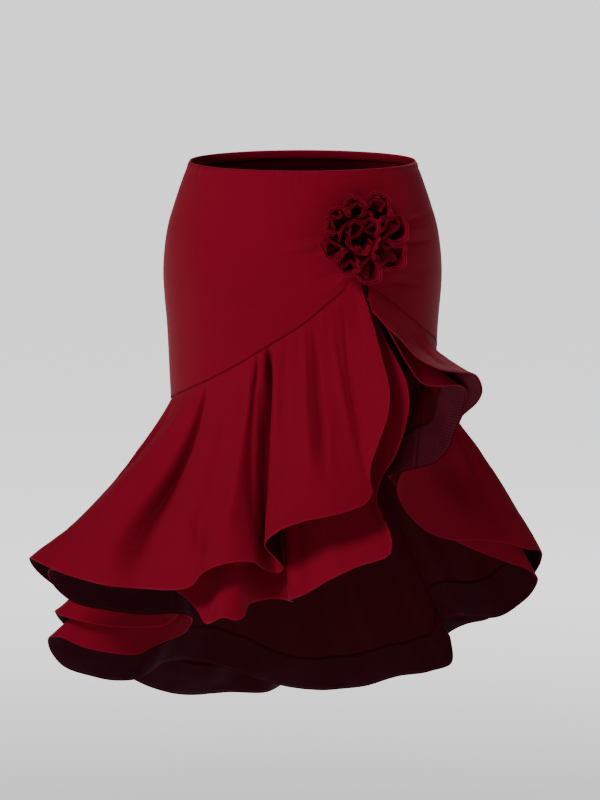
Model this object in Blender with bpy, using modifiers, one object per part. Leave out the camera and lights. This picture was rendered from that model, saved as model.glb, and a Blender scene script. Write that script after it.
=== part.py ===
# Latin dance skirt: a fitted yoke with a slanting hip seam, two layers of circular
# flounce sewn on together and stiffened at the hem with horsehair braid, and a
# gathered rosette at the point where the flounces open. It keeps the hollow form
# that it has when worn. Metres, +Z up, front towards -Y, origin at the waist's middle.
import math

import bmesh
import bpy
from mathutils import Vector

MM = 0.001
SEAM_GAP = 0.3 * MM
LAYER_GAP = 0.6 * MM  # between the two layers at the curved hip seam

CREPE_WALL = 1.5 * MM
BRAID_WALL = 1.0 * MM
BRAID_WIDTH = 50 * MM
BRAID_LARGEST_SHARE = 0.42  # of the flounce's depth, where the flounce is short
BRAID_STARTS_AT = 3  # columns from the opening

# The body below the waist, a general figure: height, half width, depth to the front and back
BODY_POWER = 2.2
BODY = (
    # z, half_width, front, back
    (6, 121, 87, 87),
    (-18, 130.5, 91, 93),
    (-45, 139.7, 95, 100),
    (-71, 147.4, 98, 108),
    (-97, 151.3, 100, 115),
    (-124, 152.7, 100, 121),
    (-150, 151.3, 99, 126),
    (-176, 149, 98, 127),
    (-210, 147.3, 97, 124),
    (-243, 145.8, 97, 119),
    (-300, 143, 97, 112),
)
WAIST_FRONT_DIP = 2.5
WAIST_BACK_RISE = 3.5

# The hip seam: it climbs from the left side to a point under the rosette and falls
# again to the right side. Angles are seen from above, 0 at the front, + to the right.
POINT_ANGLE = 34.5
HIP_SEAM = (
    # angle, z
    (34.5, -118),
    (20, -138),
    (1, -166),
    (-22, -192),
    (-44, -219),
    (-66, -244),
    (-86, -260),
    (-112, -271),
    (-145, -281),
    (-180, -283),
    (-215, -268),
    (-245, -236),
    (-274, -199),
    (-292, -177),
    (-309, -147),
    (-325.5, -118),
)

# Hem of the top flounce, clockwise from the opening, a row for each turn of its folds:
# the angle of the hip seam that the cloth hangs from, and where the hem is
TOP_HEM = (
    # seam_angle, x, y, z
    (34, 69, -105, -147),
    (33, 75, -111, -166),
    (31.5, 86, -120, -203),
    (30, 93, -127, -235),
    (28.5, 92, -133, -258),
    (26, 81, -142, -290),
    (24, 73, -149, -314),
    (22, 73, -156, -331),
    (19.5, 75, -161, -340),
    (17, 68, -170, -350),
    (13.5, 53, -177, -356),
    (6, 24, -182, -363),
    (-2, -3, -182, -369),
    (-10, -24, -178, -378),
    (-18, -41, -166, -394),
    (-20, -38, -150, -405),
    (-22, -27, -138, -419),
    (-24, -22, -127, -430),
    (-25.5, -27, -120, -436),
    (-27, -36, -126, -432),
    (-28.5, -43, -138, -426),
    (-30, -51, -148, -419),
    (-33, -69, -154, -417),
    (-36.5, -91, -155, -421),
    (-39.5, -107, -152, -429),
    (-43, -122, -146, -446),
    (-47, -143, -140, -450),
    (-53, -175, -128, -450),
    (-60, -219, -110, -449),
    (-67.5, -261, -86, -442),
    (-73, -287, -64, -435),
    (-78, -300, -42, -433),
    (-82, -297, -24, -446),
    (-86, -273, -10, -471),
    (-90, -235, 4, -491),
    (-94, -192, 15, -500),
    (-98, -156, 24, -503),
    (-102, -139, 36, -510),
    (-106, -150, 48, -525),
    (-110, -182, 56, -531),
    (-114.5, -227, 61, -529),
    (-118, -259, 66, -523),
    (-122, -276, 78, -520),
    (-126, -280, 98, -520),
    (-130, -278, 122, -532),
    (-134, -260, 144, -557),
    (-138, -231, 164, -586),
    (-142.5, -197, 182, -615),
    (-147.5, -163, 200, -634),
    (-153, -128, 220, -643),
    (-159, -89, 232, -642),
    (-166, -45, 234, -643),
    (-173, -8, 268, -634),
    (-177, 17, 262, -630),
    (-180, 34, 238, -626),
    (-183, 56, 236, -622),
    (-187, 78, 260, -618),
    (-190, 100, 258, -612),
    (-194, 118, 224, -606),
    (-198, 140, 222, -600),
    (-202, 152, 234, -590),
    (-206, 169, 214, -569),
    (-210, 190, 190, -553),
    (-214, 214, 180, -545),
    (-218, 236, 178, -528),
    (-223, 250, 154, -512),
    (-228, 259, 126, -490),
    (-233, 270, 104, -463),
    (-238, 268, 84, -448),
    (-242, 252, 69, -444),
    (-246, 230, 65, -437),
    (-250, 199, 65, -433),
    (-254, 167, 65, -433),
    (-257, 143, 64, -425),
    (-259.5, 121, 60, -406),
    (-262, 108, 54, -385),
    (-264.5, 106, 43, -367),
    (-267, 114, 30, -348),
    (-269.5, 132, 22, -337),
    (-272, 149, 19, -322),
    (-275, 163, 12, -300),
    (-278, 177, 4, -282),
    (-281.5, 192, -7, -266),
    (-285.5, 197, -28, -250),
    (-290, 187, -53, -227),
    (-294.5, 172, -73, -223),
    (-299, 154, -88, -219),
    (-304, 137, -100, -211),
    (-309, 121, -109, -199),
    (-313.5, 108, -116, -183),
    (-318.5, 89, -117, -165),
    (-322.5, 75, -112, -151),
)

# Hem of the under flounce, which hangs inside the top one and is longer
UNDER_HEM = (
    # seam_angle, x, y, z
    (34, 69, -94.5, -139),
    (32.7, 77, -96, -160),
    (31.2, 88, -96.5, -183),
    (29.8, 101, -98, -206),
    (28.2, 113, -103, -233),
    (27, 115, -107, -252),
    (25.4, 110, -114, -279),
    (23.8, 98, -121, -311),
    (22, 84, -129, -332),
    (20.5, 80, -134, -349),
    (18.5, 87, -142, -373),
    (16, 96, -150, -397),
    (13.5, 95, -155, -405),
    (8, 59, -160, -421),
    (0, 25, -158, -438),
    (-9, -4, -150, -455),
    (-16, -15, -141, -461),
    (-20, -11, -127, -466),
    (-24, -14, -110, -468),
    (-26.5, -30, -104, -467),
    (-28.5, -46, -110, -468),
    (-30.5, -58, -122, -470),
    (-32, -64, -134, -482),
    (-33.5, -72, -140, -484),
    (-36, -86, -141, -480),
    (-38.5, -99, -138, -486),
    (-40, -105, -131, -489),
    (-42.5, -114, -122, -476),
    (-46, -135, -116, -457),
    (-52, -176, -106, -449),
    (-59.5, -220, -90, -447),
    (-67, -256, -68, -443),
    (-76, -279, -48, -446),
    (-83, -275, -34, -464),
    (-87, -254, -22, -486),
    (-91, -213, -8, -499),
    (-95, -169, 4, -506),
    (-98.5, -136, 14, -507),
    (-102, -125, 30, -515),
    (-105, -134, 49, -537),
    (-108, -153, 60, -547),
    (-111, -170, 66, -556),
    (-113.5, -184, 70, -564),
    (-115.5, -211, 73, -564),
    (-118, -251, 76, -556),
    (-120.5, -276, 80, -546),
    (-123.5, -286, 90, -548),
    (-127.5, -287, 107, -565),
    (-131.5, -273, 124, -588),
    (-135.5, -246, 138, -602),
    (-139.5, -214, 147, -610),
    (-143, -187, 146, -608),
    (-147.5, -158, 152, -590),
    (-153, -118, 165, -592),
    (-159, -81, 180, -606),
    (-167, -32, 206, -627),
    (-176, 20, 212, -635),
    (-185, 67, 210, -631),
    (-193, 112, 203, -617),
    (-200, 147, 195, -610),
    (-206, 172, 186, -598),
    (-210, 172, 178, -576),
    (-213, 163, 168, -547),
    (-217, 180, 158, -537),
    (-222, 203, 146, -538),
    (-226, 225, 132, -533),
    (-230, 246, 119, -517),
    (-234, 261, 107, -499),
    (-238, 265.5, 96, -482),
    (-242, 254, 87, -471),
    (-246, 232, 82, -462),
    (-250, 199, 80, -449),
    (-253.5, 171, 80, -436),
    (-256.5, 145, 79, -418),
    (-259, 123, 74, -393),
    (-261.5, 105, 63, -372),
    (-264.5, 97, 44, -357),
    (-267, 104, 26, -352),
    (-269.5, 122, 13, -344),
    (-272, 146, 11, -337),
    (-275, 161, 6, -321),
    (-277.5, 168, 2, -301),
    (-280, 176, -4, -282),
    (-283, 179, -14, -264),
    (-287, 178, -30, -248),
    (-291.5, 167, -47, -241),
    (-297, 148, -65, -240),
    (-302, 132, -78, -235),
    (-307, 118, -91, -217),
    (-313, 105, -101, -194),
    (-318, 90, -101, -167),
    (-322.5, 77, -97.5, -148),
)

# How the cloth falls from the seam to the hem
DROP_SHARE = 0.36  # of the depth, along the body, before the cloth leaves it
UNDER_SINKS = 5  # how much further the under layer goes inwards there than at the seam
HEM_SHARE = 0.3  # of the depth, along the direction that the hem points in
HEM_FLARE = 2.0  # how much the stiff hem turns outwards, for each metre that it stands off
STRAIGHTNESS = (
    # seam_angle, share: 0 follows the body first and flares at the hem, 1 falls straight
    (34.5, 0.1),
    (0, 0.2),
    (-40, 0.4),
    (-70, 0.7),
    (-86, 0.7),
    (-110, 0.55),
    (-150, 0.45),
    (-200, 0.5),
    (-222, 1.0),
    (-236, 1.25),
    (-247, 1.2),
    (-256, 0.9),
    (-266, 0.45),
    (-290, 0.1),
    (-325.5, 0.1),
)
BODY_SLOPE_OVER = 8  # mm of height over which the body's slope is taken
ROWS_ABOVE_BRAID = 5
ROWS_IN_BRAID = 2
HEM_STEP = 2  # mm between the points of a hem's curve
FALL_STEPS = 60  # points down a curve of falling cloth
LONGEST_COLUMN = 26 * MM
LARGEST_TURN = math.radians(30)
SIDE_ANGLES = (-97, -270)

HIP_RADIUS = 150 * MM
YOKE_STEP = 5  # degrees from one column of the yoke to the next
YOKE_ROWS = 5

# The rosette: one gathered strip, sewn to the yoke along one edge, in a ring of large
# loops and then a ring of small ones. Directions are seen from in front of the rosette,
# 0 to its right and + upwards.
ROSETTE_ANGLE = 32.5
ROSETTE_Z = -72
ROSETTE_WALL = 1.0 * MM
ROSETTE_LOOPS = (
    # direction, reach, neck, height
    (-36, 49, 22, 17),
    (8, 46, 22, 19),
    (54, 50, 22, 20),
    (104, 36, 21, 18),
    (148, 41, 21, 21),
    (198, 48, 21, 18),
    (240, 38, 21, 20),
    (281, 48, 21, 18),
    (316, 15, 14, 22),
    (400, 16, 9, 23),
    (485, 15, 8, 22),
    (570, 15, 8, 23),
    (648, 12, 7.5, 22),
)
LOOP_COLUMNS = 10
LOOP_OVERHANG = 2  # degrees that a loop is wider at its middle than where it is sewn
LOOP_SHARPNESS = 1.2
STRIP_END_TURN = 40  # degrees from the first and the last loop to where the strip ends
LOOP_LIFT = 6 * MM  # how far a loop's tip stands off the yoke
LOOP_LEAN = 0.3  # how far the free edge leans outwards, of the strip's height
YOKE_AROUND = 125 * MM  # the yoke's radius under the rosette

CREPE_COLOUR = (0.19, 0.004, 0.012, 1.0)
BRAID_COLOUR = (0.075, 0.03, 0.045, 1.0)


def clear_scene():
    for thing in list(bpy.data.objects):
        bpy.data.objects.remove(thing, do_unlink=True)


def material(name, colour, roughness):
    made = bpy.data.materials.new(name)
    made.use_nodes = True
    shader = made.node_tree.nodes["Principled BSDF"]
    shader.inputs["Base Color"].default_value = colour
    shader.inputs["Roughness"].default_value = roughness
    shader.inputs["Metallic"].default_value = 0.0
    return made


def slope(before, here, after, keys):
    """The slope of a smooth curve at a row, from the rows on each side of it."""
    first, middle, last = keys
    if middle == first:
        return (after - here) / (last - middle)
    if last == middle:
        return (here - before) / (middle - first)
    left = (here - before) / (middle - first)
    right = (after - here) / (last - middle)
    return (left * (last - middle) + right * (middle - first)) / (last - first)


def smooth_value(table, key, column):
    """Reads one column of a table at any key, on a smooth curve through its rows."""
    rows = table if table[0][0] < table[-1][0] else table[::-1]
    key = min(max(key, rows[0][0]), rows[-1][0])
    at = 0
    while at < len(rows) - 2 and rows[at + 1][0] < key:
        at += 1
    picked = [rows[min(max(at + shift, 0), len(rows) - 1)] for shift in (-1, 0, 1, 2)]
    keys = [row[0] for row in picked]
    values = [row[column] for row in picked]
    span = keys[2] - keys[1]
    t = (key - keys[1]) / span
    start = slope(values[0], values[1], values[2], keys[:3]) * span
    end = slope(values[1], values[2], values[3], keys[1:]) * span
    return (
        values[1] * (2 * t**3 - 3 * t**2 + 1)
        + start * (t**3 - 2 * t**2 + t)
        + values[2] * (3 * t**2 - 2 * t**3)
        + end * (t**3 - t**2)
    )


def body_point(angle, z):
    """A point of the body's surface in a direction seen from above, at a height in mm."""
    across = abs(math.sin(math.radians(angle)))
    ahead = math.cos(math.radians(angle))
    width = smooth_value(BODY, z, 1)
    depth = smooth_value(BODY, z, 2 if ahead > 0 else 3)
    reach = ((across / width) ** BODY_POWER + (abs(ahead) / depth) ** BODY_POWER) ** (-1 / BODY_POWER)
    return Vector((reach * math.sin(math.radians(angle)), -reach * ahead, z)) * MM


def body_normal(angle, z):
    along = body_point(angle + 1, z) - body_point(angle - 1, z)
    up = body_point(angle, z + 1) - body_point(angle, z - 1)
    return along.cross(up).normalized()


def seam_height(angle):
    return smooth_value(HIP_SEAM, angle, 1)


def hem_curve(table):
    """Points close together on a smooth curve through the hem's rows, with their seam angles."""
    keyed = []
    distance = 0.0
    for number, row in enumerate(table):
        if number:
            distance += math.dist(row[1:], table[number - 1][1:])
        keyed.append((distance, *row))
    count = int(distance / HEM_STEP)
    return [
        tuple(smooth_value(keyed, distance * step / count, column) for column in (1, 2, 3, 4))
        for step in range(count + 1)
    ]


def hem_columns(curve):
    """Picks the columns of a flounce: closer together where the hem turns."""
    picked = [curve[0]]
    length = turn = 0.0
    for number in range(1, len(curve) - 1):
        before, here, after = (Vector(curve[number + step][1:]) for step in (-1, 0, 1))
        length += (here - before).length * MM
        turn += (here - before).angle(after - here)
        if length > LONGEST_COLUMN or turn > LARGEST_TURN:
            picked.append(curve[number])
            length = turn = 0.0
    picked.append(curve[-1])
    return picked


def fall(seam_angle, hem, inside):
    """The curve that the cloth falls in, as four points, from the hip seam to the hem."""
    height = seam_height(seam_angle) - 0.3
    start = body_point(seam_angle, height) - body_normal(seam_angle, height) * inside
    down = (body_point(seam_angle, height - BODY_SLOPE_OVER) - body_point(seam_angle, height)).normalized()
    depth = (hem - start).length
    straight = smooth_value(STRAIGHTNESS, seam_angle, 1)
    leaving = down.lerp((hem - start) / depth, straight)
    second = start + leaving * depth * DROP_SHARE - body_normal(seam_angle, height) * inside * UNDER_SINKS
    outward = Vector((hem.x - second.x, hem.y - second.y, 0)) * HEM_FLARE * (1 - straight)
    direction = ((hem - second).normalized() + outward).normalized()
    return start, second, hem - direction * depth * HEM_SHARE, hem


def on_fall(points, t):
    a, b, c, d = points
    s = 1 - t
    return a * s**3 + b * (3 * s**2 * t) + c * (3 * s * t**2) + d * t**3


def column_points(points):
    """Points down one column: even above the braid, and even within it."""
    fine = [on_fall(points, step / FALL_STEPS) for step in range(FALL_STEPS + 1)]
    along = [0.0]
    for before, after in zip(fine, fine[1:]):
        along.append(along[-1] + (after - before).length)
    total = along[-1]
    band = min(BRAID_WIDTH, BRAID_LARGEST_SHARE * total)
    wanted = [(total - band) * row / ROWS_ABOVE_BRAID for row in range(ROWS_ABOVE_BRAID)]
    wanted += [total - band * (1 - row / ROWS_IN_BRAID) for row in range(ROWS_IN_BRAID + 1)]
    column = []
    for length in wanted:
        at = 0
        while at < FALL_STEPS - 1 and along[at + 1] < length:
            at += 1
        part = (length - along[at]) / (along[at + 1] - along[at])
        column.append(fine[at].lerp(fine[at + 1], min(part, 1.0)))
    return column


def sheet_mesh(name, columns):
    """A grid of cloth whose columns and rows of points are given."""
    across, down = len(columns) - 1, len(columns[0]) - 1
    work = bmesh.new()
    bmesh.ops.create_grid(work, x_segments=across, y_segments=down, size=1)
    for vert in work.verts:
        i = round((vert.co.x + 1) / 2 * across)
        j = round((vert.co.y + 1) / 2 * down)
        vert.co = columns[i][j]
    bmesh.ops.triangulate(work, faces=work.faces, quad_method="FIXED")
    mesh = bpy.data.meshes.new(name)
    work.to_mesh(mesh)
    work.free()
    mesh.shade_smooth()
    return mesh


def add_wall(name, mesh, wall, collection, cloth):
    """Gives a sheet its thickness, inwards from the face that is seen."""
    thing = bpy.data.objects.new(name, mesh)
    collection.objects.link(thing)
    mesh.materials.append(cloth)
    shell = thing.modifiers.new("Wall", "SOLIDIFY")
    shell.thickness = wall
    shell.offset = -1.0
    return thing


def make_yoke(name, first, last, collection, cloth):
    edge = math.degrees(SEAM_GAP / 2 / HIP_RADIUS)
    corners = [last - edge, first + edge]
    if first < POINT_ANGLE < last:
        corners.insert(1, POINT_ANGLE)
    angles = [corners[0]]
    for start, end in zip(corners, corners[1:]):
        count = round((start - end) / YOKE_STEP)
        angles += [start + (end - start) * (i + 1) / count for i in range(count)]
    down = YOKE_ROWS
    columns = []
    for angle in angles:
        ahead = math.cos(math.radians(angle))
        top = (WAIST_BACK_RISE - WAIST_FRONT_DIP) / 2 - (WAIST_BACK_RISE + WAIST_FRONT_DIP) / 2 * ahead
        seam_angle = angle if angle <= POINT_ANGLE else angle - 360
        low = seam_height(seam_angle)
        columns.append([body_point(angle, top + (low - top) * j / down) for j in range(down + 1)])
    return add_wall(name, sheet_mesh(name, columns), CREPE_WALL, collection, cloth)


def make_flounce(layer, table, inside, collection, cloth, braid_cloth):
    """Makes one layer of flounce and its braid, in three pieces that meet at the sides."""
    curve = hem_curve(table)
    cuts = [min(range(len(curve)), key=lambda n: abs(curve[n][0] - angle)) for angle in SIDE_ANGLES]
    spans = (
        ("left_front", curve[: cuts[0] + 1]),
        ("back", curve[cuts[0] : cuts[1] + 1]),
        ("right_front", curve[cuts[1] :]),
    )
    for place, span in spans:
        columns = []
        for seam_angle, x, y, z in hem_columns(span):
            hem = Vector((x, y, z)) * MM
            columns.append(column_points(fall(seam_angle, hem, inside)))
        trim_end(columns, 0, 1)
        trim_end(columns, -1, -2)
        name = f"{layer}_flounce_{place}"
        mesh = sheet_mesh(name, columns)
        add_wall(name, mesh, CREPE_WALL, collection, cloth)
        lift = CREPE_WALL + SEAM_GAP
        band = [
            [point - mesh.vertices[j * len(columns) + i].normal * lift for j, point in enumerate(column)]
            for i, column in enumerate(columns)
        ]
        band = [column[ROWS_ABOVE_BRAID:] for column in band]
        if place == "left_front":
            band = band[BRAID_STARTS_AT:]
        if place == "right_front":
            band = band[:-BRAID_STARTS_AT]
        name = f"{layer}_braid_{place}"
        add_wall(name, sheet_mesh(name, band), BRAID_WALL, collection, braid_cloth)


def trim_end(columns, end, beside):
    """Moves a sheet's end column back from the cut line by half of the seam gap."""
    for j, point in enumerate(columns[end]):
        away = columns[beside][j] - point
        columns[end][j] = point + away.normalized() * SEAM_GAP / 2


def rosette_path():
    """The strip's path seen from the front: direction, distance, how far out on its loop, height."""
    path = []
    for number, (direction, reach, neck, height) in enumerate(ROSETTE_LOOPS):
        before = ROSETTE_LOOPS[number - 1] if number else (direction - STRIP_END_TURN, reach, neck, height)
        last = number == len(ROSETTE_LOOPS) - 1
        after = (direction + STRIP_END_TURN, reach, neck, height) if last else ROSETTE_LOOPS[number + 1]
        start, end = (before[0] + direction) / 2, (direction + after[0]) / 2
        start_neck, end_neck = neck, after[2]
        for step in range(LOOP_COLUMNS + last):
            part = step / LOOP_COLUMNS
            out = ((1 - math.cos(math.tau * part)) / 2) ** LOOP_SHARPNESS
            inner = start_neck + (end_neck - start_neck) * part
            turned = start + (end - start) * part - LOOP_OVERHANG * math.sin(math.tau * part)
            path.append((turned, inner + (reach - inner) * out, out, height))
    return path


def make_rosette(name, collection, cloth):
    facing = body_normal(ROSETTE_ANGLE, ROSETTE_Z)
    right = Vector((0, 0, 1)).cross(facing).normalized()
    up = facing.cross(right)
    columns = []
    for direction, distance, out, height in rosette_path():
        across = math.cos(math.radians(direction)) * distance
        raised = math.sin(math.radians(direction)) * distance
        angle = ROSETTE_ANGLE + math.degrees(across * MM / YOKE_AROUND)
        z = ROSETTE_Z + raised
        clear = SEAM_GAP * 2 + LOOP_LIFT * out * out
        base = body_point(angle, z) + body_normal(angle, z) * clear
        lean = (right * across + up * raised).normalized() * LOOP_LEAN
        free = base + (facing + lean) * (height * MM - LOOP_LIFT * out * out / 2)
        columns.append([free, (free + base) / 2, base])
    add_wall(name, sheet_mesh(name, columns), ROSETTE_WALL, collection, cloth)


def main():
    clear_scene()
    skirt = bpy.data.collections.new("Latin dance skirt")
    bpy.context.scene.collection.children.link(skirt)
    crepe = material("Wine crepe", CREPE_COLOUR, 0.62)
    braid = material("Horsehair braid", BRAID_COLOUR, 0.45)
    make_yoke("yoke_front", -90, 90, skirt, crepe)
    make_yoke("yoke_back", 90, 270, skirt, crepe)
    make_flounce("top", TOP_HEM, 0, skirt, crepe, braid)
    make_flounce("under", UNDER_HEM, CREPE_WALL + LAYER_GAP, skirt, crepe, braid)
    make_rosette("rosette", skirt, crepe)


main()
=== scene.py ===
import math

import bmesh
import bpy
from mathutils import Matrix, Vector, noise
from mathutils.bvhtree import BVHTree


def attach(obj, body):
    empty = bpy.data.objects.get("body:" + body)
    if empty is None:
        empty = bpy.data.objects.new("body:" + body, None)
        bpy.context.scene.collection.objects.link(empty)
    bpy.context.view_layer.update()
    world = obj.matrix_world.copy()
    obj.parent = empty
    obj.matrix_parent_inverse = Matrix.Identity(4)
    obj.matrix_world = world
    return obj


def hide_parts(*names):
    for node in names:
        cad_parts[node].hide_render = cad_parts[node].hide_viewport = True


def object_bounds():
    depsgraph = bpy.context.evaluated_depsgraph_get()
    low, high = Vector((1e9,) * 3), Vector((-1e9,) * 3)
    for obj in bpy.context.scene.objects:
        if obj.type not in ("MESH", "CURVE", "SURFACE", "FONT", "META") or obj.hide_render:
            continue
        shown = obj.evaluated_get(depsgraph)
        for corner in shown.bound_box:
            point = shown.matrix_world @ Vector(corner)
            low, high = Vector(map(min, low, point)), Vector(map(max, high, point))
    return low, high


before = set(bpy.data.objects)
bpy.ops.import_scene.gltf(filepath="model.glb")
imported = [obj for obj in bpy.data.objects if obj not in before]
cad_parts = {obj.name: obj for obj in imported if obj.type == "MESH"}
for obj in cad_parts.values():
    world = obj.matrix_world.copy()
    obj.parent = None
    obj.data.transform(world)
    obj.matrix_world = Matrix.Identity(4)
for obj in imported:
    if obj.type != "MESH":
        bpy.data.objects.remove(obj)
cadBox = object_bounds()
mm = 0.001
print("frame loaded")

# the figure that fills the skirt, in mm: height, half width, depth to the front and back
body = {
    "power": 2.2,
    "frontDip": 2.5,
    "backRise": 3.5,
    "sections": (
        (6, 121, 87, 87),
        (-18, 130.5, 91, 93),
        (-45, 139.7, 95, 100),
        (-71, 147.4, 98, 108),
        (-97, 151.3, 100, 115),
        (-124, 152.7, 100, 121),
        (-150, 151.3, 99, 126),
        (-176, 149, 98, 127),
        (-210, 147.3, 97, 124),
        (-243, 145.8, 97, 119),
        (-300, 143, 97, 112),
    ),
}

# the slanting seam between yoke and flounces: angle seen from above, height in mm
hipSeam = {
    "pointAngle": 34.5,
    "rows": (
        (34.5, -118),
        (20, -138),
        (1, -166),
        (-22, -192),
        (-44, -219),
        (-66, -244),
        (-86, -260),
        (-112, -271),
        (-145, -281),
        (-180, -283),
        (-215, -268),
        (-245, -236),
        (-274, -199),
        (-292, -177),
        (-309, -147),
        (-325.5, -118),
    ),
}


def slopeAt(before, here, after, keys):
    first, middle, last = keys
    left = (here - before) / (middle - first) if middle != first else None
    right = (after - here) / (last - middle) if last != middle else None
    if left is None:
        return right
    if right is None:
        return left
    return (left * (last - middle) + right * (middle - first)) / (last - first)


def smoothValue(rows, key, column):
    # one column of a table at any key, on a smooth curve through the rows
    if rows[0][0] > rows[-1][0]:
        rows = rows[::-1]
    key = min(max(key, rows[0][0]), rows[-1][0])
    low, high = 0, len(rows) - 2
    while low < high:
        middle = (low + high + 1) // 2
        if rows[middle][0] < key:
            low = middle
        else:
            high = middle - 1
    picked = [rows[min(max(low + shift, 0), len(rows) - 1)] for shift in (-1, 0, 1, 2)]
    keys = [row[0] for row in picked]
    values = [row[column] for row in picked]
    span = keys[2] - keys[1]
    t = (key - keys[1]) / span
    start = slopeAt(values[0], values[1], values[2], keys[:3]) * span
    end = slopeAt(values[1], values[2], values[3], keys[1:]) * span
    return (
        values[1] * (2 * t**3 - 3 * t**2 + 1)
        + start * (t**3 - 2 * t**2 + t)
        + values[2] * (3 * t**2 - 2 * t**3)
        + end * (t**3 - t**2)
    )


def bodyPoint(angle, z):
    across = abs(math.sin(math.radians(angle)))
    ahead = math.cos(math.radians(angle))
    width = smoothValue(body["sections"], z, 1)
    depth = smoothValue(body["sections"], z, 2 if ahead > 0 else 3)
    power = body["power"]
    reach = ((across / width) ** power + (abs(ahead) / depth) ** power) ** (-1 / power)
    return Vector((reach * math.sin(math.radians(angle)), -reach * ahead, z)) * mm


def bodyNormal(angle, z):
    along = bodyPoint(angle + 1, z) - bodyPoint(angle - 1, z)
    up = bodyPoint(angle, z + 1) - bodyPoint(angle, z - 1)
    return along.cross(up).normalized()


def seamHeight(angle):
    return smoothValue(hipSeam["rows"], angle, 1)


def bell(distance):
    return math.exp(-distance * distance)


def rise(t):
    t = min(max(t, 0.0), 1.0)
    return t * t * (3 - 2 * t)


# the dyes of the crepe, its wrong side and the braid, the floor's paper, and colours of painted light and
# shade
dyesAndPaintedLight = {
    "crepe": (0.132, 0.0036, 0.0112),
    "crepeDeep": (0.093, 0.0022, 0.0074),
    # painted highlight on the turned edges, also the stitches' thread
    "crepeHighlightAndThread": (0.147, 0.0042, 0.013),
    # painted shade in folds, in hollows and under the rosette
    "fold": (0.035, 0.0005, 0.002),
    # darker than the crepe: partly the wrong side's own tone, partly painted shade inside the skirt
    "wrongSide": (0.0205, 0.0007, 0.0026),
    "wrongSideDeep": (0.0145, 0.0004, 0.0017),
    "hair": (0.028, 0.0034, 0.0066),
    "hairGap": (0.0115, 0.0006, 0.002),
    # lit copies of the braid, its gaps and the wrong side: painted light where they turn to the light
    "hairLit": (0.115, 0.014, 0.026),
    "hairGapLit": (0.036, 0.0012, 0.005),
    "wrongSideLit": (0.062, 0.0014, 0.005),
    # painted shade on the braid round the back and beside the opening
    "hairShade": (0.0185, 0.0006, 0.0023),
    "floor": (0.86, 0.855, 0.85),
    "floorSpeck": (0.8, 0.8, 0.8),
}


class Nodes:
    # short names for adding and joining shader nodes
    def __init__(self, name):
        self.material = bpy.data.materials.new(name)
        self.material.use_nodes = True
        self.tree = self.material.node_tree
        self.shader = self.tree.nodes["Principled BSDF"]

    def add(self, kind, **values):
        node = self.tree.nodes.new(kind)
        for key, value in values.items():
            if key in node.inputs:
                node.inputs[key].default_value = value
            else:
                setattr(node, key, value)
        return node

    def join(self, output, socket):
        self.tree.links.new(output, socket)

    def math(self, operation, first, second=None):
        node = self.add("ShaderNodeMath", operation=operation)
        for socket, value in zip(node.inputs, (first, second)):
            if isinstance(value, (int, float)):
                socket.default_value = value
            elif value is not None:
                self.join(value, socket)
        return node.outputs[0]

    def mix(self, factor, first, second):
        node = self.add("ShaderNodeMix", data_type="RGBA")
        for socket, value in zip((node.inputs[0], node.inputs[6], node.inputs[7]), (factor, first, second)):
            if isinstance(value, tuple):
                socket.default_value = (*value, 1.0)
            elif isinstance(value, (int, float)):
                socket.default_value = value
            else:
                self.join(value, socket)
        return node.outputs[2]

    def uv(self, name):
        return self.add("ShaderNodeUVMap", uv_map=name).outputs["UV"]

    def objectPlace(self):
        return self.add("ShaderNodeTexCoord").outputs["Object"]

    def axes(self, vector):
        node = self.add("ShaderNodeSeparateXYZ")
        self.join(vector, node.inputs[0])
        return {axis: node.outputs[axis] for axis in "XYZ"}

    def noise(self, vector, scale, detail, roughness=0.5):
        node = self.add("ShaderNodeTexNoise", Scale=scale, Detail=detail, Roughness=roughness)
        self.join(vector, node.inputs["Vector"])
        return node.outputs["Fac"]

    def ramp(self, value, start, end, most=1.0, least=0.0):
        # softly from the least at the start to the most at the end, whichever is larger
        node = self.add("ShaderNodeMapRange", interpolation_type="SMOOTHSTEP")
        self.join(value, node.inputs["Value"])
        first, last = (least, most) if start < end else (most, least)
        node.inputs["From Min"].default_value = min(start, end)
        node.inputs["From Max"].default_value = max(start, end)
        node.inputs["To Min"].default_value = first
        node.inputs["To Max"].default_value = last
        return node.outputs["Result"]

    def dress(self, colour, height, look):
        # colour, fine relief and shine of a cloth
        bump = self.add("ShaderNodeBump", Strength=look["bump"], Distance=look["bumpDepth"])
        self.join(height, bump.inputs["Height"])
        self.join(bump.outputs["Normal"], self.shader.inputs["Normal"])
        self.join(colour, self.shader.inputs["Base Color"])
        self.shader.inputs["Specular IOR Level"].default_value = look["specular"]
        self.shader.inputs["Specular Tint"].default_value = look["specularTint"]


crepeLook = {
    "patchesPerMetre": 9.0,
    "patchShare": 0.45,  # of the way to the deep dye
    "grainPerMetre": 1500,
    "grainShare": 0.35,
    "bump": 0.16,
    "bumpDepth": 0.25 * mm,
    "roughness": 0.58,
    "roughnessGrain": 0.14,
    "sheen": 0.1,
    "sheenRoughness": 0.45,
    "sheenTint": (0.7, 0.02, 0.07, 1.0),
    "specular": 0.13,
    "specularTint": (1.0, 0.06, 0.12, 1.0),
    "foldShade": 0.85,
    "edgeWidth": 1.8 * mm,
    "edgeFrom": 1.3,  # the painted highlight on the turned edge fades between these shares of its width
    "edgeTo": 0.55,
    "edgeHighlightShows": 0.7,
    "stitchHalfWidth": 0.35 * mm,
    "stitchesPerMetre": 380.0,
    "stitchLength": 0.72,  # of the stitch and its gap
    "stitchShows": 0.22,
    "stitchRaised": 0.5,
}

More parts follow.
